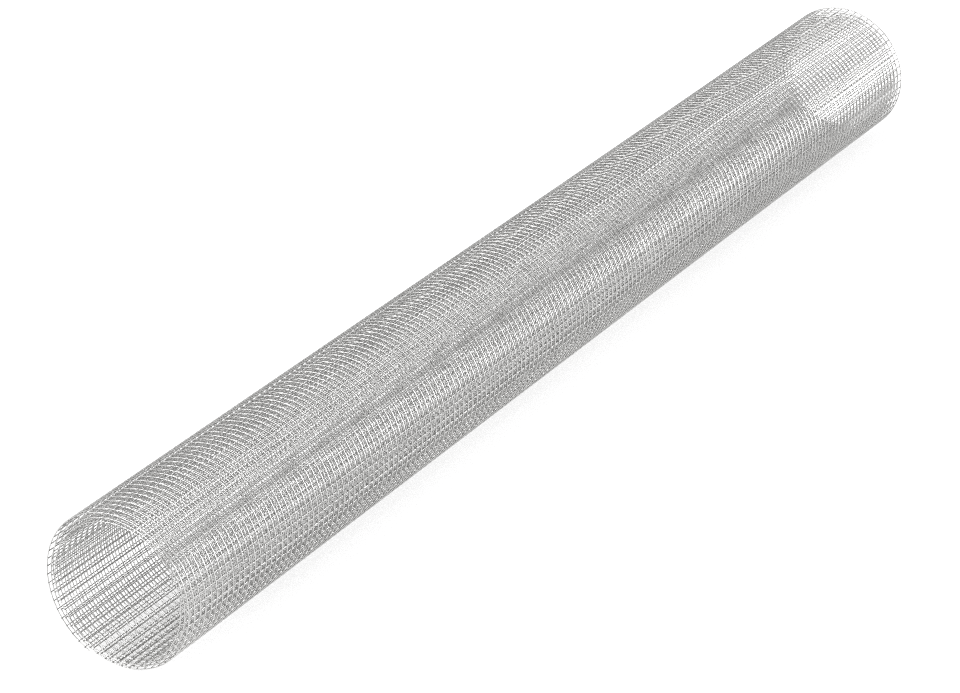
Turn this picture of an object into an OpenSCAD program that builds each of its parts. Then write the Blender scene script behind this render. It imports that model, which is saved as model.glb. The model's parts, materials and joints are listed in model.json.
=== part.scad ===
// Roll of fine welded wire mesh, lying on its side along X.
// The roll is one turned solid with an open bore. Its turns stand out
// as thin rings on both ends, with the gaps between them cut in.

/* [Roll] */
// Length of the roll, which is the width of the mesh
roll_len = 1000; // [300:10:1200]
// Outer diameter over the last turn
outer_d = 104; // [80:1:200]
// Number of turns of mesh between the bore and the outside
turns = 3; // [2:1:6]

/* [Mesh] */
// Diameter of the wire
wire_d = 0.75; // [0.4:0.05:0.8]
// Space left between one turn and the next
turn_gap = 2.25; // [0.4:0.05:3]
// Distance from one cross wire to the next
pitch = 5.8; // [4:0.1:8]

/* [Hidden] */

// Two wires cross through the thickness of the mesh
sheet_t = 2 * wire_d;
turn_step = sheet_t + turn_gap;
outer_r = outer_d / 2;
bore_r = outer_r - turns * sheet_t - (turns - 1) * turn_gap;
// Past the last cross wire the turns stand apart for one cell
groove_depth = pitch;
round_fn = 180;

// Half of the roll's section, from the bore outwards, with x as the
// radius and y along the roll: the body, and one ring for each turn
module wound_section() {
    body_len = roll_len - 2 * groove_depth;
    translate([bore_r, -body_len / 2])
        square([outer_r - bore_r, body_len]);
    for (turn = [0 : turns - 1])
        translate([bore_r + turn * turn_step, -roll_len / 2])
            square([sheet_t, roll_len]);
}

module mesh_roll() {
    color([0.66, 0.67, 0.68])
        translate([0, 0, outer_r])
            rotate([0, 90, 0])
                rotate_extrude($fn = round_fn)
                    wound_section();
}

mesh_roll();
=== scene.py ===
"""A roll of fine welded wire mesh, wound loose and lying on its side.

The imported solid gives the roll's length, its bore and its outside. The wires
are made here as they are in the works: the flat sheet first, then the winding.
"""
import json
import math
import random

import bmesh
import bpy
from mathutils import Matrix, Vector


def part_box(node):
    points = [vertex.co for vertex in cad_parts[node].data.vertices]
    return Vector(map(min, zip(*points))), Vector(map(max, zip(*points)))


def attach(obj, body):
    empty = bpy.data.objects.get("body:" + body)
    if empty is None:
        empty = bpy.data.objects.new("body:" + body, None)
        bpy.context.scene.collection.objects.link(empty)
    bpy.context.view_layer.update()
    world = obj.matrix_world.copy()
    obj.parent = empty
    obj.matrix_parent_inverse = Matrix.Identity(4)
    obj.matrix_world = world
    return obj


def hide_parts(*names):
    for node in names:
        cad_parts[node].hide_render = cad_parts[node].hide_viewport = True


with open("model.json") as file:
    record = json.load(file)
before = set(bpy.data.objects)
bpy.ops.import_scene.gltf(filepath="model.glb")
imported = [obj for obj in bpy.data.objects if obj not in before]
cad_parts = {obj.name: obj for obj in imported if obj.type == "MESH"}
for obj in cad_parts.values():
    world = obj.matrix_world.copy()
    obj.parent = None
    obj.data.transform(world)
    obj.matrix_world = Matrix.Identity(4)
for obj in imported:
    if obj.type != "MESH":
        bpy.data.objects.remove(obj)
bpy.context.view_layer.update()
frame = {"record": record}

# ---------------------------------------------------------------------------
# The winding. One sheet, cut to length, is rolled up by hand on nothing. It
# springs open into three loose turns, a little out of round, and both its
# free edges lie low at the back, near the floor.
# ---------------------------------------------------------------------------
low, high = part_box("mesh_roll")
bore = next(m for m in frame["record"]["mounts"] if m["name"] == "bore")
roll_len = high.x - low.x
half_len = roll_len / 2
bore_r = bore["dims"]["r_mm"] / 1000
outer_r = bore["pos_m"][2]

wire_r = 0.000375
sheet_half = 2 * wire_r
turns = 2.98
whole_angle = math.tau * turns
outer_slack = 0.00119
centre_drop = 0.00118
inner_mid_r = bore_r + sheet_half
outer_mid_r = outer_r - sheet_half + outer_slack
step_per_rad = (outer_mid_r - inner_mid_r) / whole_angle
sheet_len = whole_angle * (inner_mid_r + outer_mid_r) / 2
free_edge_turned = math.radians(-63)

# Under its own weight the inside of the roll sags onto the floor.
sag_depth = 0.0045
sagging_share = 0.78
settled_power = 8
# The outer turn flares towards the far end, and the middle turns draw in.
flare_at_end = 0.0016
drawn_in_by = 0.0004
# The sheet was never quite flat, so each turn waves and sways a little.
wave_height, wave_phase = 0.0005, 0.9
ripple_height, ripple_rate, ripple_phase = 0.00016, 2.21, 2.4
sway_per_metre, sway_rate, sway_phase = 0.0003, 0.9, 0.4
# The last of the inner edge springs away from the turn that it lay on.
edge_spring = 0.0016
edge_arc = 0.3


def wound_angle(along):
    """Angle turned from the inner edge, at a length along the flat sheet."""
    return (math.sqrt(inner_mid_r ** 2 + 2 * step_per_rad * along) - inner_mid_r) / step_per_rad


def winding_turned(angle):
    """Direction of a place in the roll's section, for an angle from the inner edge."""
    return free_edge_turned + (whole_angle - angle)


def looseness(x, angle):
    """How far the springy sheet stands off its even winding at a place."""
    through = angle / whole_angle
    settled = ((1 - math.sin(winding_turned(angle))) / 2) ** settled_power
    sag = sag_depth * max(0.0, sagging_share - through) * settled
    flare = flare_at_end * through * max(0.0, x / half_len) ** 2
    drawn_in = -drawn_in_by * math.sin(math.pi * through)
    wave = wave_height * through * (1 - through) * math.sin(angle + wave_phase)
    ripple = ripple_height * math.sin(ripple_rate * angle + ripple_phase)
    sway = sway_per_metre * x * math.sin(sway_rate * angle + sway_phase)
    sprung = -edge_spring * max(0.0, 1 - angle / edge_arc) ** 2
    return sag + (1 - settled) * (drawn_in + wave + ripple + sway + flare) + sprung


def wound(point):
    """The place in the roll of a point of the flat sheet: x lies across the
    sheet, y along it from the inner edge, and z is its height on the sheet."""
    angle = wound_angle(point.y)
    r = inner_mid_r + step_per_rad * angle + point.z + looseness(point.x, angle)
    turned = winding_turned(angle)
    return Vector((point.x, r * math.cos(turned), outer_r - centre_drop + r * math.sin(turned)))


def wind_up(name, sheet_bm):
    """Winds a bmesh of flat wires into the roll and makes it an object."""
    for vert in sheet_bm.verts:
        vert.co = wound(vert.co)
    bmesh.ops.recalc_face_normals(sheet_bm, faces=sheet_bm.faces)
    mesh = bpy.data.meshes.new(name)
    sheet_bm.to_mesh(mesh)
    sheet_bm.free()
    piece = bpy.data.objects.new(name, mesh)
    bpy.context.collection.objects.link(piece)
    return piece


# ---------------------------------------------------------------------------
# Line wires. Galvanised steel wires that run the length of the sheet, so each
# goes round the roll once a turn. They lie outside the cross wires, and the
# welds press the two a little way into each other.
# ---------------------------------------------------------------------------
wire_sides = 6
weld_sink = 0.00006
cells_across = 172
stub = 0.0012
pitch = (roll_len - 2 * stub) / cells_across
line_stray = 0.00012
line_bends = round(48 * turns) - 1
wires_in_band = 35


def drawn_wire(length, bends, axis):
    """One straight drawn wire with cut ends, in a bmesh of its own. It is
    turned about the axis given, and rings of edges let it bend."""
    bm = bmesh.new()
    bmesh.ops.create_cone(bm, cap_ends=True, segments=wire_sides, radius1=wire_r, radius2=wire_r,
                          depth=length, matrix=Matrix.Rotation(math.radians(90), 4, axis))
    sides = [edge for edge in bm.edges if edge.calc_length() > length / 2]
    for edge in bm.edges:
        edge.smooth = edge in sides
    for face in bm.faces:
        face.smooth = True
    bmesh.ops.subdivide_edges(bm, edges=sides, cuts=bends, use_grid_fill=True)
    return bm


def laid_copies(wire, places):
    """A bmesh with the wire laid at each of the places given."""
    mesh = bpy.data.meshes.new("wire")
    wire.to_mesh(mesh)
    wire.free()
    laid = bmesh.new()
    for place in places:
        first = len(laid.verts)
        laid.from_mesh(mesh)
        laid.verts.ensure_lookup_table()
        bmesh.ops.translate(laid, verts=laid.verts[first:], vec=place)
    bpy.data.meshes.remove(mesh)
    return laid


rng = random.Random(7)
line_places = []
for i in range(cells_across + 1):
    across = (i - cells_across / 2) * pitch + rng.uniform(-line_stray, line_stray)
    line_places.append(Vector((across, sheet_len / 2, wire_r - weld_sink)))

mesh_pieces = []
for band_start in range(0, len(line_places), wires_in_band):
    band = line_places[band_start:band_start + wires_in_band]
    line_wires = laid_copies(drawn_wire(sheet_len, line_bends, "X"), band)
    mesh_pieces.append(wind_up(f"line_wires_{len(mesh_pieces) + 1}", line_wires))

# ---------------------------------------------------------------------------
# Cross wires. Straight galvanised wires across the sheet, at nearly the same
# pitch and welded to the inside of every line wire. Their cut ends stand just
# past the last line wire.
# ---------------------------------------------------------------------------
cross_pitch = 0.005772
cells_along = int(sheet_len / cross_pitch) - 1
edge_stub = (sheet_len - cells_along * cross_pitch) / 2
end_stray = 0.0002
cross_stray = 0.00045
cross_bends = 7

cross_places = []
for i in range(cells_along + 1):
    end_shift = rng.uniform(-end_stray, end_stray)
    along = edge_stub + i * cross_pitch + rng.uniform(-cross_stray, cross_stray)
    cross_places.append(Vector((end_shift, along, weld_sink - wire_r)))
cross_wires = laid_copies(drawn_wire(roll_len, cross_bends, "Y"), cross_places)
mesh_pieces.append(wind_up("cross_wires", cross_wires))


# ---------------------------------------------------------------------------
# Zinc. The welded sheet is dipped in molten zinc, which leaves a bright satin
# skin with a fine crystal pattern and duller grey patches.
# ---------------------------------------------------------------------------
class Shade:
    """A shader socket that Python's operators add Math nodes to."""

    def __init__(self, tree, socket):
        self.tree = tree
        self.socket = socket

    def node(self, kind, settings, values):
        made = self.tree.nodes.new(kind)
        for key, value in settings.items():
            setattr(made, key, value)
        for key, value in values.items():
            if isinstance(value, Shade):
                self.tree.links.new(value.socket, made.inputs[key])
            else:
                made.inputs[key].default_value = value
        return made

    def maths(self, operation, first, second):
        made = self.node("ShaderNodeMath", {"operation": operation}, {0: first, 1: second})
        return Shade(self.tree, made.outputs[0])

    def __add__(self, other):
        return self.maths("ADD", self, other)

    def __radd__(self, other):
        return self.maths("ADD", other, self)

    def __mul__(self, other):
        return self.maths("MULTIPLY", self, other)

    def __rmul__(self, other):
        return self.maths("MULTIPLY", other, self)


dull_zinc = (0.47, 0.468, 0.462, 1)
bright_zinc = (0.63, 0.628, 0.62, 1)
patches_per_metre = 22.0
spangles_per_metre = 420.0
# A Mix node that mixes colours has its own sockets for them.
mix_factor, mix_first, mix_second, mixed_colour = 0, 6, 7, 2

zinc = bpy.data.materials.new("zinc_wire")
zinc.use_nodes = True
tree = zinc.node_tree
shader = tree.nodes["Principled BSDF"]
start = Shade(tree, None)
place = Shade(tree, start.node("ShaderNodeTexCoord", {}, {}).outputs["Object"])
patches = start.node("ShaderNodeTexNoise", {},
                     {"Vector": place, "Scale": patches_per_metre, "Detail": 3.0})
spangle = start.node("ShaderNodeTexVoronoi", {}, {"Vector": place, "Scale": spangles_per_metre})
facet = start.node("ShaderNodeSeparateColor", {}, {"Color": Shade(tree, spangle.outputs["Color"])})
patch = Shade(tree, patches.outputs["Fac"])
grain = Shade(tree, facet.outputs["Red"])
colour = start.node("ShaderNodeMix", {"data_type": "RGBA"},
                    {mix_factor: patch * 0.6 + grain * 0.4,
                     mix_first: dull_zinc, mix_second: bright_zinc})
rough = 0.22 + patch * 0.10 + grain * 0.06
tree.links.new(colour.outputs[mixed_colour], shader.inputs["Base Color"])
tree.links.new(rough.socket, shader.inputs["Roughness"])
shader.inputs["Metallic"].default_value = 1.0

for piece in mesh_pieces:
    piece.data.materials.append(zinc)
    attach(piece, "root")
    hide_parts("mesh_roll")

# ---------------------------------------------------------------------------
# The studio. A round pale floor that glows a little, so that the roll's
# shadow stays faint, under an even white sky.
# ---------------------------------------------------------------------------
floor_radius = 14.0
floor_grey = 0.5
floor_glow = 0.57
sky_glow = 0.62

floor_bm = bmesh.new()
bmesh.ops.create_circle(floor_bm, cap_ends=True, segments=96, radius=floor_radius)
floor_mesh = bpy.data.meshes.new("floor")
floor_bm.to_mesh(floor_mesh)
floor_bm.free()
floor = bpy.data.objects.new("floor", floor_mesh)
bpy.context.collection.objects.link(floor)
floor_material = bpy.data.materials.new("pale_floor")
floor_material.use_nodes = True
floor_shader = floor_material.node_tree.nodes["Principled BSDF"]
floor_shader.inputs["Base Color"].default_value = (floor_grey, floor_grey, floor_grey, 1)
floor_shader.inputs["Emission Color"].default_value = (1, 1, 1, 1)
floor_shader.inputs["Emission Strength"].default_value = floor_glow
floor_shader.inputs["Roughness"].default_value = 0.9
floor.data.materials.append(floor_material)

world = bpy.data.worlds.new("studio")
bpy.context.scene.world = world
world.use_nodes = True
sky = world.node_tree.nodes["Background"]
sky.inputs["Color"].default_value = (1, 1, 1, 1)
sky.inputs["Strength"].default_value = sky_glow


# ---------------------------------------------------------------------------
# Lights. A long one overhead, behind the near end, picks out the line wires.
# One at the side fills the front, and a low one past the far end draws thin
# bright lines on the cross wires.
# ---------------------------------------------------------------------------
def softbox(name, place, target, size, watts):
    light = bpy.data.lights.new(name, "AREA")
    light.shape = "RECTANGLE"
    light.size, light.size_y = size
    light.energy = watts
    lamp = bpy.data.objects.new(name, light)
    lamp.location = place
    lamp.rotation_euler = (Vector(target) - Vector(place)).to_track_quat("-Z", "Y").to_euler()
    bpy.context.collection.objects.link(lamp)


on_floor = (0, 0, 0)
on_roll = (0, 0, 0.05)
softbox("overhead_light", place=(-4.4, 1.5, 3.9), target=on_floor, size=(8.4, 2.0), watts=440)
softbox("side_light", place=(-0.1, -2.7, 1.0), target=on_roll, size=(1.2, 1.3), watts=60)
softbox("end_light", place=(2.0, -2.4, 0.2), target=on_roll, size=(1.2, 0.4), watts=17)

# ---------------------------------------------------------------------------
# The camera. A long lens that looks down along the roll from its near end.
# Noise isn't smoothed away, because that would wipe out the fine wires too.
# ---------------------------------------------------------------------------
view_azimuth = math.radians(-59.52)
view_elevation = math.radians(25.33)
view_distance = 2.4738
aim = Vector((-0.0351, 0.0257, 0.0156))
camera_back = Vector((math.sin(view_azimuth) * math.cos(view_elevation),
                      -math.cos(view_azimuth) * math.cos(view_elevation),
                      math.sin(view_elevation)))
camera_data = bpy.data.cameras.new("camera")
camera_data.lens = 132.7
camera = bpy.data.objects.new("camera", camera_data)
camera.location = aim + camera_back * view_distance
camera.rotation_euler = (-camera_back).to_track_quat("-Z", "Y").to_euler()
bpy.context.collection.objects.link(camera)
bpy.context.scene.camera = camera
bpy.context.scene.view_settings.view_transform = "Standard"
bpy.context.scene.cycles.use_denoising = False
bpy.context.scene.cycles.filter_width = 1.0
